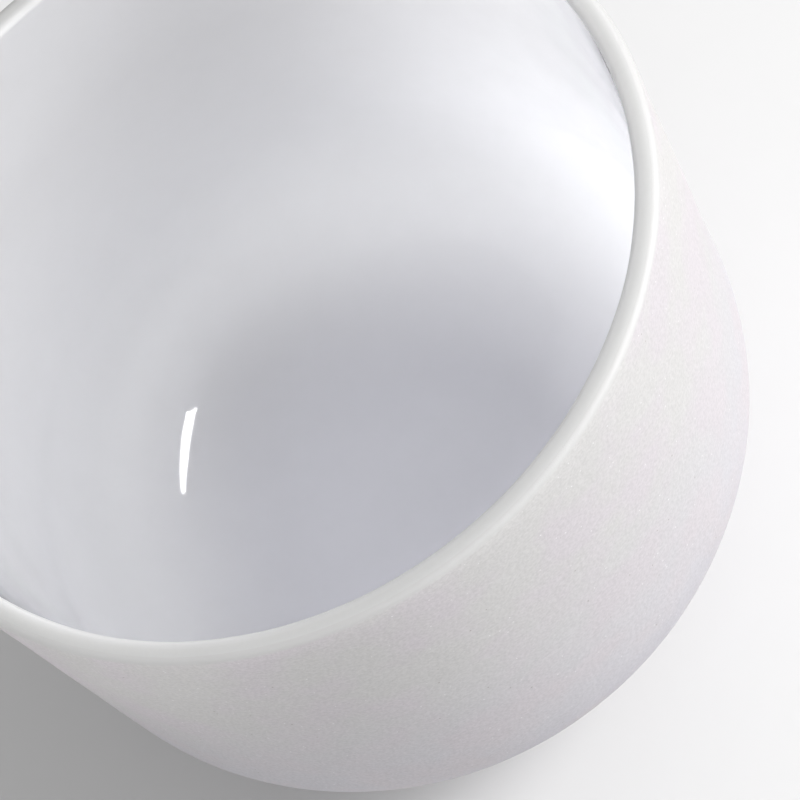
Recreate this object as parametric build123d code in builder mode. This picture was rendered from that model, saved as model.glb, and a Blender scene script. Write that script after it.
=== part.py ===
from build123d import *

import math
import os

# Frosted quartz singing bowl standing on a rubber support ring, in millimetres.
#
# The bowl is one spun and fused piece of quartz: a wall that leans in slightly on the way down,
# a wide round corner, a shallow dished bottom and a ground rim.  It stands on a loose rubber
# ring.  The origin is on the table under the bowl's axis, with +Z along the axis towards the
# mouth.

# Bowl
rim_diameter = 203.2  # outside, the 8 inch size
wall = 5.8  # thickness at the rim
wall_lean = 3.0  # degrees that the wall leans in on the way down
bowl_height = 158.5  # lowest point of the outside to the rim
bottom_thickness = 8.5
outer_corner_radius = 62.0
inner_corner_radius = 51.0
outer_bottom_radius = 172.0  # radius of the dished bottom, outside
inner_bottom_radius = 163.0  # and inside
rim_inner_rounding = 1.5
rim_outer_rounding = 1.6

# Support ring
cord_diameter = 9.5  # the round rubber section
ring_diameter = 84.0  # across the middle of the section
foot_flat = 0.25  # how far the loaded rubber flattens on the table
ring_gap = 0.3  # left between the bowl and the ring

# Heights that follow from them
ring_radius = ring_diameter / 2
cord_radius = cord_diameter / 2
cord_height = cord_radius - foot_flat
contact_reach = outer_bottom_radius + cord_radius + ring_gap
bottom_centre_height = cord_height + math.sqrt(contact_reach**2 - ring_radius**2)
bowl_bottom = bottom_centre_height - outer_bottom_radius
rim_height = bowl_bottom + bowl_height


def vessel_section(rim_radius, bottom, bottom_radius, corner_radius):
    """Half section of a filled vessel, from the axis out to one of the bowl's two surfaces.

    The wall's line runs down to the table, the bottom's circle cuts it off, and the corner
    between them is rounded.
    """
    lean_in = rim_height * math.tan(math.radians(wall_lean))
    with BuildSketch() as section:
        with BuildLine():
            Polyline(
                (0, 0),
                (rim_radius - lean_in, 0),
                (rim_radius, rim_height),
                (0, rim_height),
                close=True,
            )
        make_face()
        with Locations((0, bottom + bottom_radius)):
            Circle(bottom_radius, mode=Mode.INTERSECT)
        corner = section.vertices().sort_by(Axis.Y)[1]
        fillet(corner, corner_radius)
    return section.sketch


# Bowl: one piece of quartz
with BuildPart() as bowl:
    with BuildSketch(Plane.XZ) as bowl_section:
        add(vessel_section(rim_diameter / 2, bowl_bottom, outer_bottom_radius, outer_corner_radius))
        add(
            vessel_section(
                rim_diameter / 2 - wall,
                bowl_bottom + bottom_thickness,
                inner_bottom_radius,
                inner_corner_radius,
            ),
            mode=Mode.SUBTRACT,
        )
    revolve(axis=Axis.Z)
    rim_edges = bowl.edges().group_by(Axis.Z)[-1].sort_by(SortBy.LENGTH)
    fillet(rim_edges[0], rim_inner_rounding)
    fillet(bowl.edges().group_by(Axis.Z)[-1].sort_by(SortBy.LENGTH)[-1], rim_outer_rounding)

# Support ring: a round rubber cord joined into a hoop, flattened where it meets the table
with BuildPart() as support_ring:
    with BuildSketch(Plane.XZ):
        with Locations((ring_radius, cord_height)):
            Circle(cord_radius)
        with Locations((ring_radius, 0)):
            Rectangle(cord_diameter, cord_diameter, align=(Align.CENTER, Align.MAX), mode=Mode.SUBTRACT)
    revolve(axis=Axis.Z)

bowl.part.label = "bowl"
support_ring.part.label = "support_ring"

os.makedirs("parts", exist_ok=True)
export_step(bowl.part, "parts/bowl.step")
export_step(support_ring.part, "parts/support_ring.step")

print(f"bowl bottom {bowl_bottom:.2f}, rim {rim_height:.2f}")
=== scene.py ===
"""Frosted quartz singing bowl on its rubber support ring.

The bowl is turned from one profile: the dished bottom, the wide corner, the leaning wall, the
ground rim and the glazed hollow.  Sizes are in metres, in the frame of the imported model.
"""

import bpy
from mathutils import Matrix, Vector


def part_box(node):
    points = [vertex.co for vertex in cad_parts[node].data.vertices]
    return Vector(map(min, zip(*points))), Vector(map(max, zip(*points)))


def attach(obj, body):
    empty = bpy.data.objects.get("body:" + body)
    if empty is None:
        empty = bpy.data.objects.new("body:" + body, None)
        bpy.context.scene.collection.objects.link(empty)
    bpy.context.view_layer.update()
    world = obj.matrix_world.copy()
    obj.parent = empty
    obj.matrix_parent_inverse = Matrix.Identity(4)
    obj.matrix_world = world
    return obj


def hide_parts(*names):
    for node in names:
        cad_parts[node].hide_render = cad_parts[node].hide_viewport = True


bl_info = {
    "name": "Quartz singing bowl",
    "version": (1, 0, 0),
    "blender": (4, 5, 0),
    "location": "View3D > Sidebar > Singing bowl",
    "description": "A frosted quartz singing bowl, its rubber ring and a pale studio",
    "category": "Object",
}

import math

import bpy
from bpy.props import FloatProperty, FloatVectorProperty, IntProperty, PointerProperty
from mathutils import Matrix, Quaternion, Vector, noise

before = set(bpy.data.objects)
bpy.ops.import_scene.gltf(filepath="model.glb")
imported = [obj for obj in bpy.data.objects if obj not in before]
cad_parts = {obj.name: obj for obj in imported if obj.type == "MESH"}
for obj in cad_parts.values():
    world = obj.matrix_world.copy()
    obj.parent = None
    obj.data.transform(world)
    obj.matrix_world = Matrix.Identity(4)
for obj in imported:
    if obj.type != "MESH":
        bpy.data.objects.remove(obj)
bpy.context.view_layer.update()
bowl_low, bowl_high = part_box("bowl")
ring_low, ring_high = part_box("support_ring")
MM = 0.001
WHITE = (1, 1, 1)
EDGE_STEPS = 6  # faces across a rounded edge
SECTION_STEPS = 64  # faces round the ring's rubber section
RING_STEPS = 192  # faces round the whole ring
FROSTED, GROUND, GLAZED = range(3)  # the bowl's finishes, in the order of its materials

# Heights between which a finish or its painted shade changes.
# Painted shade on the sandy outside: bluish low down, grey higher up.
FROST_SHADE_RISE = (25 * MM, 120 * MM)
# Band of darker painted shade on the rim's rounded outer edge.
OUTER_EDGE_SHADE = (bowl_high.z - 1.8 * MM, bowl_high.z - 0.6 * MM)
HOLLOW_FLOOR = (10 * MM, 44 * MM)
# Painted shade: the glazed wall darker from here up than the bottom.
WALL_SHADE_RISE = (35 * MM, 120 * MM)

# Distances from the axis between which the rim's inner edge, with painted light, turns into its flat
# top, with painted shade.
INNER_EDGE_LIGHT = (bowl_high.x - 6.0 * MM, bowl_high.x - 3.5 * MM)

# Weight and roughness of the outermost skin of each finish.
FROSTED_SKIN = (1.0, 0.6)
GROUND_SKIN = (1.0, 0.42)
GLAZED_SKIN = (0.6, 0.03)

ROSY = (0.42, 0.62)  # noise values between which a patch turns rosy
SPOT_CORE = 0.6  # part of a spot's radius that is fully marked
QUARTZ_IOR = 1.46
SENSOR = 36.0  # width of the camera's sensor, in millimetres
AIM = Vector((0.0084, 0, 0.0674))  # the point that the camera and the key light look at
SKY_BAND = (0.2, 0.9)  # sines of the elevations between which the fill gets weaker


def heading(azimuth, elevation=0.0):
    """Unit vector at an azimuth counted from +X towards +Y, and an elevation."""
    level = math.cos(elevation)
    return Vector((level * math.cos(azimuth), level * math.sin(azimuth), math.sin(elevation)))


def length(name, description, default, **limits):
    """A size in metres, shown in the scene's own units."""
    return FloatProperty(
        name=name, description=description, default=default, unit="LENGTH", precision=5, **limits
    )


def angle(name, description, degrees):
    """An angle, given here in degrees."""
    return FloatProperty(
        name=name, description=description, default=math.radians(degrees), subtype="ANGLE"
    )


def fraction(name, description, default):
    """A plain number from 0 to 1."""
    return FloatProperty(name=name, description=description, default=default, min=0, max=1)


def colour(name, description, default):
    """A linear colour that a user can pick."""
    return FloatVectorProperty(
        name=name, description=description, default=default, size=3, subtype="COLOR", min=0, max=1
    )


class BowlShape(bpy.types.PropertyGroup):
    """Sizes of the bowl's profile."""

    rim_radius: length("Rim radius", "Outside radius at the rim", bowl_high.x)
    rim_height: length("Rim height", "Top of the rim above the table", bowl_high.z)
    bottom_height: length("Bottom", "Lowest point of the outside", bowl_low.z)
    wall: length("Wall", "Thickness at the rim", 5.8 * MM)
    bottom_thickness: length("Bottom thickness", "Thickness on the axis", 8.5 * MM)
    wall_lean: angle("Wall lean", "How far the wall leans in on the way down", 3.0)
    outer_corner: length("Outer corner", "Radius between wall and bottom, outside", 62 * MM)
    inner_corner: length("Inner corner", "Radius between wall and bottom, inside", 51 * MM)
    outer_dish: length("Outer dish", "Radius of the dished bottom, outside", 172 * MM)
    inner_dish: length("Inner dish", "Radius of the dished bottom, inside", 163 * MM)
    rim_inner_rounding: length("Inner rim rounding", "Ground inner edge", 1.5 * MM)
    rim_outer_rounding: length("Outer rim rounding", "Ground outer edge", 1.6 * MM)
    waviness: length("Waviness", "Height of the slow unevenness of the surface", 0.12 * MM)
    wave_length: length("Wave length", "Size of the slow unevenness", 28 * MM)
    around: IntProperty(name="Steps around", description="Faces in one turn", default=288, min=24)
    spacing: length("Spacing", "Length of a face along the profile", 2.0 * MM)


class QuartzFinish(bpy.types.PropertyGroup):
    """Colours, surface and painted light and shade of the quartz."""

    frost_colour: colour("Frosting", "Sandy outside", (0.90, 0.885, 0.89))
    # Painted shade: a grey coat tint that darkens the upper sandy outside.
    frost_painted_shade: colour("Frosting tint", "Light let out by the upper sandy layer", (0.665, 0.658, 0.65))
    # Painted shade: a darker coat tint on the rounded outer edge of the rim.
    outer_edge_painted_shade: colour("Outer edge tint", "Light let out by the outer edge", (0.56, 0.56, 0.555))
    # Painted shade: a bluish coat tint that darkens the lower sandy outside.
    low_frost_painted_shade: colour("Low tint", "Light let out by the lower sandy layer", (0.655, 0.643, 0.69))
    # Pinkish tone of the quartz, with the same painted shade as the sandy outside.
    rosy_tone_painted_shade: colour("Rosy tint", "Light let out by the pinkish patches", (0.67, 0.643, 0.66))
    # Painted glint: a lighter coat tint on scattered small dots.
    glint_painted_light: colour("Facet tint", "Light let out by a bright facet", (0.82, 0.82, 0.82))
    speck_tint: colour("Speck tint", "Light let out by a dark speck", (0.42, 0.40, 0.38))
    glaze_colour: colour("Glaze", "Smooth inside", (0.97, 0.965, 1.0))
    # Painted shade: a faint bluish coat tint on the glaze of the bottom.
    floor_painted_shade: colour("Floor tint", "Light let out by the glaze of the bottom", (0.955, 0.965, 1.0))
    # Painted shade: a darker coat tint that dims the glazed wall above the bottom.
    wall_painted_shade: colour("Wall tint", "Light let out by the glaze of the wall", (0.614, 0.614, 0.636))
    rim_colour: colour("Rim", "Ground rim", (0.95, 0.95, 0.955))
    # Painted shade: a dark coat tint on the ground rim.
    rim_painted_shade: colour("Rim tint", "Light let out by the ground face", (0.55, 0.55, 0.545))
    # Painted light: a lighter coat tint along the rim's inner edge.
    inner_edge_painted_light: colour("Inner edge tint", "Light let out by the inner edge", (0.68, 0.68, 0.68))
    grain: length("Grain", "Size of one grain of the frosting", 0.35 * MM)
    grain_depth: length("Grain depth", "Depth of the frosting", 0.10 * MM)
    sand: length("Sand", "Size of the slightly darker and lighter spots", 0.8 * MM)
    sand_light: fraction("Sand light", "Light left in the darkest of those spots", 0.87)
    frost_depth: length("Frosting depth", "Light's reach under the frosting", 35.0 * MM)
    glaze_depth: length("Glaze depth", "Light's reach under the glaze of the wall", 80.0 * MM)
    floor_depth: length("Floor depth", "Light's reach under the glaze of the bottom", 0.3 * MM)
    rim_grain: length("Rim grain", "Size of the grinding marks", 1.2 * MM)
    rim_depth: length("Rim depth", "Light's reach under the ground rim", 12.0 * MM)
    cloud: length("Cloud", "Size of the rosy patches", 22 * MM)
    mottle: fraction("Mottle", "Light left in the darker parts of the quartz", 0.985)
    rim_mottle: fraction("Rim mottle", "Light left in the darker parts of the ground rim", 0.98)
    facet_spacing: length("Facet spacing", "Size of the cells that may have a facet", 1.2 * MM)
    facet_radius: length("Facet radius", "Half the size of a bright facet", 0.24 * MM)
    facet_share: fraction("Facets", "Share of the cells that have a facet", 0.05)
    speck_spacing: length("Speck spacing", "Size of the cells that may have a speck", 1.9 * MM)
    speck_radius: length("Speck radius", "Half the size of a dark speck", 0.3 * MM)
    speck_share: fraction("Specks", "Share of the cells that have a speck", 0.03)
    glaze_wave: length("Glaze wave", "Size of the fine unevenness of the glaze", 9 * MM)
    glaze_wave_depth: length("Glaze wave depth", "Depth of that unevenness", 0.08 * MM)
    frost_roughness: fraction("Frosting roughness", "Dullness of the outside", 0.62)
    glaze_roughness: fraction("Glaze roughness", "Dullness of the inside", 0.06)
    rim_roughness: fraction("Rim roughness", "Dullness of the ground rim", 0.42)


class RingShape(bpy.types.PropertyGroup):
    """Sizes and colour of the rubber ring."""

    cord: length("Cord", "Diameter of the rubber section", 9.5 * MM)
    foot: length("Foot flat", "Flattening on the table", 0.25 * MM)
    flash: length("Mould line", "Height of the mould line", 0.12 * MM)
    flash_width: length("Mould line width", "Half the width of the mould line", 0.3 * MM)
    rubber_colour: colour("Rubber", "Colour of the ring", (0.035, 0.035, 0.038))
    bloom: length("Bloom", "Size of the patches of bloom", 6 * MM)
    bloom_light: FloatProperty(
        name="Bloom light", description="How much lighter the bloom is", default=1.8, min=0
    )
    skin: length("Skin", "Size of the fine unevenness of the rubber", 0.5 * MM)
    skin_depth: length("Skin depth", "Depth of that unevenness", 0.04 * MM)
    rubber_roughness: fraction("Rubber roughness", "Dullness of the rubber", 0.72)


class StudioLook(bpy.types.PropertyGroup):
    """Floor, light and camera."""

    floor_colour: colour("Floor", "Pale floor", (0.648, 0.648, 0.648))
    fill: FloatProperty(name="Fill", description="Light from all round", default=0.825, min=0)
    fill_side: fraction("Fill side", "How much more of it comes from the window side", 0.35)
    fill_azimuth: angle("Fill azimuth", "Direction of the window side from +X", -40.0)
    low_sky: FloatProperty(name="Low sky", description="Fill near the table", default=1.2, min=0)
    high_sky: FloatProperty(name="High sky", description="Fill overhead", default=0.6, min=0)
    floor_half: length("Floor half", "Half the side of the floor", 6.0)
    floor_cloud: length("Floor cloud", "Size of the faint patches of the floor", 30 * MM)
    floor_mottle: fraction("Floor mottle", "Light left in the faint patches", 0.995)
    floor_roughness: fraction("Floor roughness", "Dullness of the floor", 0.8)
    floor_gloss: fraction("Floor gloss", "Strength of the floor's reflections", 0.2)
    key_power: FloatProperty(name="Key power", description="Watts", default=131.0, min=0)
    key_size: length("Key size", "Width of the soft light", 1.2)
    key_height: length("Key height", "Height of the soft light", 1.6)
    key_distance: length("Key distance", "From the bowl", 3.0)
    key_elevation: angle("Key elevation", "Height of the light above the table", 30.0)
    key_azimuth: angle("Key azimuth", "Direction of the light from +X", -26.0)
    view_distance: length("View distance", "Camera to the point it looks at", 0.886)
    view_elevation: angle("View elevation", "Camera above the table", 57.73)
    view_azimuth: angle("View azimuth", "Direction of the camera from +X", -91.016)
    view_roll: angle("View roll", "Camera turned about its own axis", -38.79)
    lens: FloatProperty(name="Lens", description="Millimetres", default=157.5, subtype="DISTANCE_CAMERA")


# Profiles


def arc(centre, radius, start, end, spacing):
    """Points along an arc, both ends included."""
    steps = max(2, round(abs(end - start) * radius / spacing))
    turns = [start + (end - start) * i / steps for i in range(steps + 1)]
    return [centre + radius * Vector((math.cos(t), math.sin(t))) for t in turns]


def line(start, end, spacing):
    """Points along a line, both ends included."""
    steps = max(1, round((end - start).length / spacing))
    return [start.lerp(end, i / steps) for i in range(steps + 1)]


def vessel_curve(shape, rim_radius, bottom, dish, corner):
    """One surface of the bowl, from the axis to the rim: dished bottom, corner and wall."""
    rim = Vector((rim_radius, shape.rim_height))
    down = Vector((-math.sin(shape.wall_lean), -math.cos(shape.wall_lean)))
    inward = Vector((down.y, -down.x))
    dish_centre = Vector((0, bottom + dish))
    reach = rim + inward * corner - dish_centre
    ahead = reach.dot(down)
    along = math.sqrt(ahead**2 - reach.length_squared + (dish - corner) ** 2) - ahead
    corner_centre = dish_centre + reach + down * along
    join = (corner_centre - dish_centre).angle_signed(Vector((1, 0)))
    curve = arc(dish_centre, dish, -math.pi / 2, join, shape.spacing)
    curve += arc(corner_centre, corner, join, -shape.wall_lean, shape.spacing)[1:]
    curve += line(curve[-1], rim, shape.spacing)[1:]
    return curve


def round_end(curve, after, radius, steps=EDGE_STEPS):
    """The curve with the corner at its last point, on the way to `after`, rounded off."""
    corner = curve[-1]
    back = (curve[-2] - corner).normalized()
    ahead = (after - corner).normalized()
    half = back.angle(ahead) / 2
    cut = radius / math.tan(half)
    centre = corner + (back + ahead).normalized() * radius / math.sin(half)
    clear = 1.2 * cut  # leaves no sliver beside the rounding
    kept = [p for p in curve if (p - corner).length > clear]
    first = corner + back * cut - centre
    last = corner + ahead * cut - centre
    turn = first.angle_signed(last)
    return kept + [centre + Matrix.Rotation(-turn * i / steps, 2) @ first for i in range(steps + 1)]


def bowl_profile(shape):
    """The whole profile, from the axis round the rim and back, and the finish of each step."""
    inner_rim = shape.rim_radius - shape.wall
    inner_bottom = shape.bottom_height + shape.bottom_thickness
    outside = vessel_curve(
        shape, shape.rim_radius, shape.bottom_height, shape.outer_dish, shape.outer_corner
    )
    inside = vessel_curve(shape, inner_rim, inner_bottom, shape.inner_dish, shape.inner_corner)
    outer_edge, inner_edge = outside[-1], inside[-1]
    outside = round_end(outside, inner_edge, shape.rim_outer_rounding)
    inside = round_end(inside, outer_edge, shape.rim_inner_rounding)
    top = line(outside[-1], inside[-1], shape.spacing / 2)[1:-1]
    profile = outside + top + inside[::-1]
    ground = len(top) + 1 + EDGE_STEPS
    frosted = len(outside) - 1
    glazed = len(profile) - 1 - frosted - ground
    return profile, [FROSTED] * frosted + [GROUND] * ground + [GLAZED] * glazed


# Meshes


def turned(name, profile, steps, closed, zones=None):
    """Mesh object turned about +Z.  An open profile starts and ends on the axis.

    `zones` gives each step of the profile its material.
    """
    ring = profile if closed else profile[1:-1]
    count = len(ring)
    zones = zones or [0] * len(profile)
    materials = []
    points = []
    for i in range(steps):
        turn = 2 * math.pi * i / steps
        points += [(p.x * math.cos(turn), p.x * math.sin(turn), p.y) for p in ring]
    faces = []
    for i in range(steps):
        here, there = i * count, (i + 1) % steps * count
        for k in range(count if closed else count - 1):
            n = (k + 1) % count
            faces.append((here + k, there + k, there + n, here + n))
            materials.append(zones[k if closed else k + 1])
    if not closed:
        first, last = len(points), len(points) + 1
        points += [(0, 0, profile[0].y), (0, 0, profile[-1].y)]
        for i in range(steps):
            here, there = i * count, (i + 1) % steps * count
            faces.append((first, there, here))
            faces.append((last, here + count - 1, there + count - 1))
            materials += [zones[0], zones[-1]]
    mesh = bpy.data.meshes.new(name)
    mesh.from_pydata(points, [], faces)
    mesh.validate()
    mesh.polygons.foreach_set("use_smooth", [True] * len(mesh.polygons))
    mesh.polygons.foreach_set("material_index", materials)
    piece = bpy.data.objects.new(name, mesh)
    bpy.context.scene.collection.objects.link(piece)
    return piece


def ripple(mesh, height, size):
    """Moves each point along its normal by a slow, even noise."""
    falloff, finer, octaves = 0.6, 2.0, 2
    normals = [v.normal.copy() for v in mesh.vertices]
    for vertex, normal in zip(mesh.vertices, normals):
        vertex.co += normal * height * noise.fractal(vertex.co / size, falloff, finer, octaves)


# Materials


def new_material(name):
    """Empty node material with its principled shader."""
    material = bpy.data.materials.new(name)
    material.use_nodes = True
    return material, material.node_tree, material.node_tree.nodes["Principled BSDF"]


def add_node(tree, kind, inputs=None, **settings):
    """Adds a node, sets it up and links or fills the named inputs."""
    node = tree.nodes.new(kind)
    for key, value in settings.items():
        setattr(node, key, value)
    for key, value in (inputs or {}).items():
        if isinstance(value, bpy.types.NodeSocket):
            tree.links.new(value, node.inputs[key])
        else:
            node.inputs[key].default_value = value
    return node


def grain_noise(tree, size, detail=2.0):
    """Noise whose features are about `size` across, in metres, on the object."""
    place = add_node(tree, "ShaderNodeTexCoord").outputs["Object"]
    return add_node(
        tree,
        "ShaderNodeTexNoise",
        {"Vector": place, "Scale": 1 / size, "Detail": detail, "Roughness": 0.6},
    ).outputs["Fac"]


def tinted(tree, factor, dark, light, low=0.3, high=0.7):
    """Colour that runs from dark to light over the range where most of the noise lies."""
    ramp = add_node(tree, "ShaderNodeValToRGB", {"Fac": factor})
    ramp.color_ramp.elements[0].position = low
    ramp.color_ramp.elements[1].position = high
    ramp.color_ramp.elements[0].color = (*dark, 1)
    ramp.color_ramp.elements[1].color = (*light, 1)
    return ramp.outputs["Color"]


def shade(base, factor):
    """The colour, lighter or darker by a factor."""
    return tuple(min(1, c * factor) for c in base)


def quartz(name, base, depth, roughness, skin):
    """Milky quartz: light enters, scatters and comes out on the other side of the wall."""
    coat_weight, coat_roughness = skin
    material, tree, shader = new_material(name)
    shader.inputs["Subsurface Weight"].default_value = 1.0
    shader.inputs["Subsurface Radius"].default_value = (1.0, 1.0, 1.0)
    shader.inputs["Subsurface Scale"].default_value = depth
    shader.inputs["IOR"].default_value = QUARTZ_IOR
    shader.inputs["Roughness"].default_value = roughness
    shader.inputs["Base Color"].default_value = (*base, 1)
    shader.inputs["Coat Weight"].default_value = coat_weight
    shader.inputs["Coat Roughness"].default_value = coat_roughness
    return material, tree, shader


def number(tree, operation, *values):
    """Result of a calculation with numbers."""
    inputs = dict(enumerate(values))
    return add_node(tree, "ShaderNodeMath", inputs, operation=operation).outputs["Value"]


def object_height(tree):
    """Height of the shaded point above the object's origin."""
    place = add_node(tree, "ShaderNodeTexCoord").outputs["Object"]
    return add_node(tree, "ShaderNodeSeparateXYZ", {"Vector": place}).outputs["Z"]


def between(tree, value, low, high, start=0.0, end=1.0, **settings):
    """`start` where the value is below low, `end` where it is above high."""
    inputs = {"Value": value, "From Min": low, "From Max": high, "To Min": start, "To Max": end}
    return add_node(tree, "ShaderNodeMapRange", inputs, **settings).outputs["Result"]


def axis_distance(tree, low, high):
    """0 nearer to the axis than low, 1 farther from it than high."""
    place = add_node(tree, "ShaderNodeTexCoord").outputs["Object"]
    level = add_node(tree, "ShaderNodeVectorMath", {0: place, 1: (1, 1, 0)}, operation="MULTIPLY")
    size = add_node(tree, "ShaderNodeVectorMath", {0: level.outputs["Vector"]}, operation="LENGTH")
    return between(tree, size.outputs["Value"], low, high)


def blend(tree, factor, a, b, how="MIX"):
    """Mixes two colours."""
    node = add_node(tree, "ShaderNodeMix", data_type="RGBA", blend_type=how)
    for socket, value in ((node.inputs[0], factor), (node.inputs[6], a), (node.inputs[7], b)):
        if isinstance(value, bpy.types.NodeSocket):
            tree.links.new(value, socket)
        else:
            socket.default_value = value if isinstance(value, (int, float)) else (*value, 1)
    return node.outputs[2]


def specks(tree, spacing, radius, share):
    """1 on small scattered dots: `share` of the cells of a Voronoi pattern have one."""
    place = add_node(tree, "ShaderNodeTexCoord").outputs["Object"]
    cells = add_node(tree, "ShaderNodeTexVoronoi", {"Vector": place, "Scale": 1 / spacing})
    near = between(tree, cells.outputs["Distance"], radius / spacing, SPOT_CORE * radius / spacing)
    draw = add_node(tree, "ShaderNodeSeparateColor", {"Color": cells.outputs["Color"]})
    chosen = number(tree, "LESS_THAN", draw.outputs["Red"], share)
    return number(tree, "MULTIPLY", near, chosen)


def roughen(tree, shader, relief, depth, strength=0.5):
    """Bump by a relief that is `depth` deep."""
    settings = {"Height": relief, "Distance": depth, "Strength": strength}
    bump = add_node(tree, "ShaderNodeBump", settings)
    tree.links.new(bump.outputs["Normal"], shader.inputs["Normal"])


def frosted_quartz(finish):
    """Sandy outside: fine grains, rosy patches, a few painted glints and a few dark specks, under
    painted shade that is bluish low down and darker on the rim's outer edge.
    """
    material, tree, shader = quartz(
        "frosted_quartz",
        finish.frost_colour,
        finish.frost_depth,
        finish.frost_roughness,
        FROSTED_SKIN,
    )
    grain = grain_noise(tree, finish.grain)
    cloud = grain_noise(tree, finish.cloud)
    tint = tinted(tree, cloud, shade(finish.frost_colour, finish.mottle), finish.frost_colour)
    tree.links.new(tint, shader.inputs["Base Color"])
    height = object_height(tree)
    # Painted shade, bluish low down and grey higher up.
    painted_shade_rise = between(tree, height, *FROST_SHADE_RISE)
    rosy = between(tree, cloud, *ROSY)
    # Coat tint: painted shade, with rosy tone, sand, painted glints and dark specks.
    tone_and_painted_light = blend(tree, painted_shade_rise, finish.low_frost_painted_shade, finish.frost_painted_shade)
    tone_and_painted_light = blend(tree, rosy, tone_and_painted_light, finish.rosy_tone_painted_shade)
    sand = tinted(tree, grain_noise(tree, finish.sand), shade(WHITE, finish.sand_light), WHITE)
    tone_and_painted_light = blend(tree, 1.0, tone_and_painted_light, sand, "MULTIPLY")
    # Painted glints: small dots that let out more light than the sand round them.
    painted_glints = specks(tree, finish.facet_spacing, finish.facet_radius, finish.facet_share)
    tone_and_painted_light = blend(tree, painted_glints, tone_and_painted_light, finish.glint_painted_light)
    dark = specks(tree, finish.speck_spacing, finish.speck_radius, finish.speck_share)
    tone_and_painted_light = blend(tree, dark, tone_and_painted_light, finish.speck_tint)
    # Painted shade: the outer edge of the rim darker than the sandy wall.
    edge = between(tree, height, *OUTER_EDGE_SHADE, interpolation_type="SMOOTHSTEP")
    tree.links.new(blend(tree, edge, tone_and_painted_light, finish.outer_edge_painted_shade), shader.inputs["Coat Tint"])
    roughen(tree, shader, grain, finish.grain_depth, 0.6)
    return material


def glazed_quartz(finish):
    """Smooth inside, glossy and slightly uneven, with painted shade: faintly bluish on the bottom and
    darker up the wall.
    """
    material, tree, shader = quartz(
        "glazed_quartz",
        finish.glaze_colour,
        finish.glaze_depth,
        finish.glaze_roughness,
        GLAZED_SKIN,
    )
    height = object_height(tree)
    depths = (finish.floor_depth, finish.glaze_depth)
    reach = between(tree, height, *HOLLOW_FLOOR, *depths, interpolation_type="SMOOTHSTEP")
    tree.links.new(reach, shader.inputs["Subsurface Scale"])
    # Painted shade: darker up the wall than on the bottom.
    painted_shade_rise = between(tree, height, *WALL_SHADE_RISE)
    tone_and_painted_light = blend(tree, painted_shade_rise, finish.floor_painted_shade, finish.wall_painted_shade)
    tree.links.new(tone_and_painted_light, shader.inputs["Coat Tint"])
    wave = grain_noise(tree, finish.glaze_wave, 3.0)
    tint = tinted(tree, wave, shade(finish.glaze_colour, finish.mottle), finish.glaze_colour)
    tree.links.new(tint, shader.inputs["Base Color"])
    roughen(tree, shader, wave, finish.glaze_wave_depth)
    return material


def ground_quartz(finish):
    """Rim: ground flat and polished to a satin face, darkened by painted shade, with a lighter band of
    painted light along its inner edge.
    """
    material, tree, shader = quartz(
        "ground_quartz", finish.rim_colour, finish.rim_depth, finish.rim_roughness, GROUND_SKIN
    )
    grain = grain_noise(tree, finish.rim_grain)
    tint = tinted(tree, grain, shade(finish.rim_colour, finish.rim_mottle), finish.rim_colour)
    tree.links.new(tint, shader.inputs["Base Color"])
    # Painted light along the inner edge, painted shade on the flat top.
    tone_and_painted_light = blend(tree, axis_distance(tree, *INNER_EDGE_LIGHT), finish.inner_edge_painted_light, finish.rim_painted_shade)
    tree.links.new(tone_and_painted_light, shader.inputs["Coat Tint"])
    return material


def ring_rubber(ring):
    """Matte black rubber with a faint bloom."""
    material, tree, shader = new_material("ring_rubber")
    bloom = grain_noise(tree, ring.bloom, 4.0)
    tint = tinted(tree, bloom, ring.rubber_colour, shade(ring.rubber_colour, ring.bloom_light), low=0.35)
    tree.links.new(tint, shader.inputs["Base Color"])
    shader.inputs["Roughness"].default_value = ring.rubber_roughness
    roughen(tree, shader, grain_noise(tree, ring.skin), ring.skin_depth)
    return material


def floor_paint(look):
    """Plain pale floor with the least trace of texture."""
    material, tree, shader = new_material("studio_floor")
    cloud = grain_noise(tree, look.floor_cloud, 4.0)
    tint = tinted(tree, cloud, shade(look.floor_colour, look.floor_mottle), look.floor_colour)
    tree.links.new(tint, shader.inputs["Base Color"])
    shader.inputs["Roughness"].default_value = look.floor_roughness
    shader.inputs["Specular IOR Level"].default_value = look.floor_gloss
    return material


# Studio


def floor_sheet(look):
    """Flat floor, far wider than what the camera sees."""
    mesh = bpy.data.meshes.new("floor")
    half = look.floor_half
    corners = [(-half, -half, 0), (half, -half, 0), (half, half, 0), (-half, half, 0)]
    mesh.from_pydata(corners, [], [(0, 1, 2, 3)])
    mesh.materials.append(floor_paint(look))
    floor = bpy.data.objects.new("floor", mesh)
    bpy.context.scene.collection.objects.link(floor)


def soft_sky(look):
    """Light from all round: less overhead than near the table, and more on the window side."""
    world = bpy.data.worlds.new("studio")
    bpy.context.scene.world = world
    world.use_nodes = True
    tree = world.node_tree
    around = add_node(tree, "ShaderNodeTexCoord").outputs["Generated"]
    height = add_node(tree, "ShaderNodeSeparateXYZ", {"Vector": around}).outputs["Z"]
    ceiling = between(
        tree, height, *SKY_BAND, look.low_sky, look.high_sky, interpolation_type="SMOOTHSTEP"
    )
    window = heading(look.fill_azimuth)
    side = add_node(tree, "ShaderNodeVectorMath", {0: around, 1: window}, operation="DOT_PRODUCT")
    extra = look.fill_side * look.fill
    filling = number(tree, "MULTIPLY_ADD", side.outputs["Value"], extra, look.fill)
    background = tree.nodes["Background"]
    background.inputs["Color"].default_value = (*WHITE, 1)
    strength = number(tree, "MULTIPLY", ceiling, filling)
    tree.links.new(strength, background.inputs["Strength"])


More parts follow.
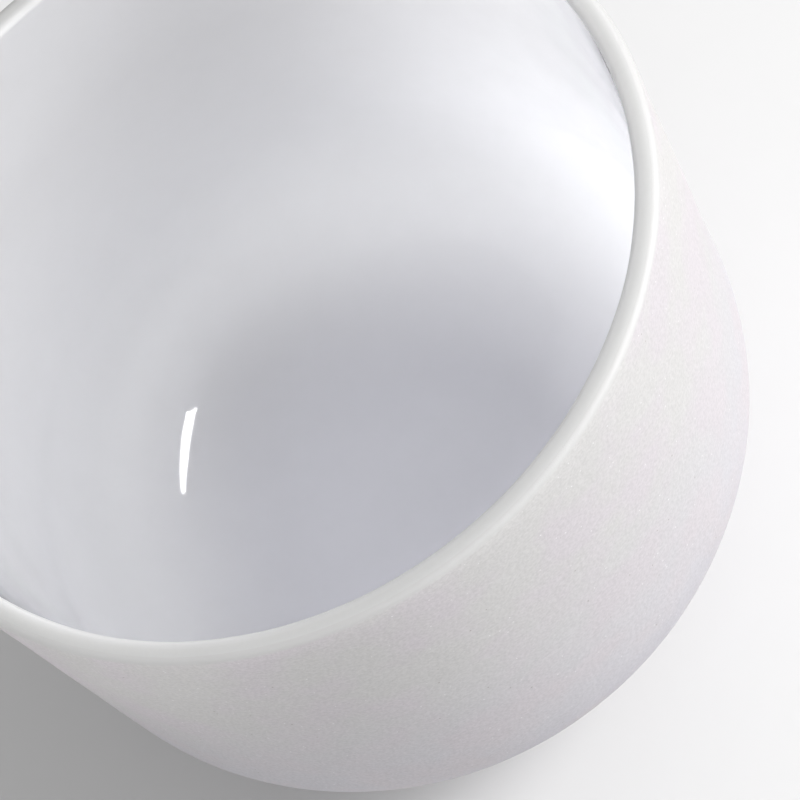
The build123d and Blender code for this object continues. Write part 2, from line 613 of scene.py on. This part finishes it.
def aimed(thing, direction, distance, roll=0.0):
    """Puts a lamp or a camera in a direction from the aim, turned towards it."""
    holder = bpy.data.objects.new(thing.name, thing)
    holder.location = AIM + direction * distance
    holder.rotation_mode = "QUATERNION"
    holder.rotation_quaternion = direction.to_track_quat("Z", "Y") @ Quaternion((0, 0, 1), roll)
    bpy.context.scene.collection.objects.link(holder)
    return holder


def key_light(look):
    """The one soft light that casts the shadow."""
    lamp = bpy.data.lights.new("key", "AREA")
    lamp.shape = "RECTANGLE"
    lamp.size = look.key_size
    lamp.size_y = look.key_height
    lamp.energy = look.key_power
    aimed(lamp, heading(look.key_azimuth, look.key_elevation), look.key_distance)


def main_camera(look):
    """Long lens that looks down into the bowl."""
    lens = bpy.data.cameras.new("camera")
    lens.lens = look.lens
    lens.sensor_width = SENSOR
    direction = heading(look.view_azimuth, look.view_elevation)
    bpy.context.scene.camera = aimed(lens, direction, look.view_distance, look.view_roll)


# Operators


class BOWL_OT_quartz_bowl(bpy.types.Operator):
    """Turn the quartz bowl and give its zones their finishes"""

    bl_idname = "singing_bowl.quartz_bowl"
    bl_label = "Quartz bowl"

    def execute(self, context):
        shape = context.scene.bowl_shape
        finish = context.scene.quartz_finish
        profile, zones = bowl_profile(shape)
        bowl = turned("quartz_bowl", profile, shape.around, closed=False, zones=zones)
        ripple(bowl.data, shape.waviness, shape.wave_length)
        for material in (frosted_quartz(finish), ground_quartz(finish), glazed_quartz(finish)):
            bowl.data.materials.append(material)
        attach(bowl, "bowl")
        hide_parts("bowl")
        return {"FINISHED"}


class BOWL_OT_support_ring(bpy.types.Operator):
    """Mould the rubber ring that the bowl stands on"""

    bl_idname = "singing_bowl.support_ring"
    bl_label = "Support ring"

    def execute(self, context):
        ring = context.scene.ring_shape
        radius = ring.cord / 2
        centre = Vector((ring_high.x - radius, radius - ring.foot))
        profile = []
        for i in range(SECTION_STEPS):
            turn = 2 * math.pi * i / SECTION_STEPS
            out = Vector((math.cos(turn), math.sin(turn)))
            mould_line = ring.flash * math.exp(-((out.y * radius / ring.flash_width) ** 2))
            point = centre + out * (radius - ring.flash + mould_line)
            point.y = max(0.0, point.y)
            profile.append(point)
        piece = turned("rubber_ring", profile, RING_STEPS, closed=True)
        piece.data.flip_normals()
        piece.data.materials.append(ring_rubber(ring))
        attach(piece, "ring")
        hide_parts("support_ring")
        return {"FINISHED"}


class BOWL_OT_stage(bpy.types.Operator):
    """Set the pale floor, the soft light and the camera"""

    bl_idname = "singing_bowl.stage"
    bl_label = "Studio"

    def execute(self, context):
        look = context.scene.studio_look
        context.scene.view_settings.view_transform = "Standard"
        floor_sheet(look)
        soft_sky(look)
        key_light(look)
        main_camera(look)
        return {"FINISHED"}


class BOWL_PT_sidebar(bpy.types.Panel):
    """The bowl's tools in the sidebar"""

    bl_idname = "BOWL_PT_sidebar"
    bl_label = "Singing bowl"
    bl_space_type = "VIEW_3D"
    bl_region_type = "UI"
    bl_category = "Singing bowl"

    def draw(self, context):
        for group in ("bowl_shape", "quartz_finish", "ring_shape", "studio_look"):
            settings = getattr(context.scene, group)
            box = self.layout.box()
            for name in settings.bl_rna.properties.keys():
                if name not in ("rna_type", "name"):
                    box.prop(settings, name)
        for operator in (BOWL_OT_quartz_bowl, BOWL_OT_support_ring, BOWL_OT_stage):
            self.layout.operator(operator.bl_idname)


groups = {
    "bowl_shape": BowlShape,
    "quartz_finish": QuartzFinish,
    "ring_shape": RingShape,
    "studio_look": StudioLook,
}
classes = (
    *groups.values(),
    BOWL_OT_quartz_bowl,
    BOWL_OT_support_ring,
    BOWL_OT_stage,
    BOWL_PT_sidebar,
)


def register():
    for cls in classes:
        bpy.utils.register_class(cls)
    for name, group in groups.items():
        setattr(bpy.types.Scene, name, PointerProperty(type=group))


def unregister():
    for name in groups:
        delattr(bpy.types.Scene, name)
    for cls in reversed(classes):
        bpy.utils.unregister_class(cls)


def main():
    register()
    bpy.ops.singing_bowl.stage()
    bpy.ops.singing_bowl.quartz_bowl()
    bpy.ops.singing_bowl.support_ring()


if __name__ == "__main__":
    main()
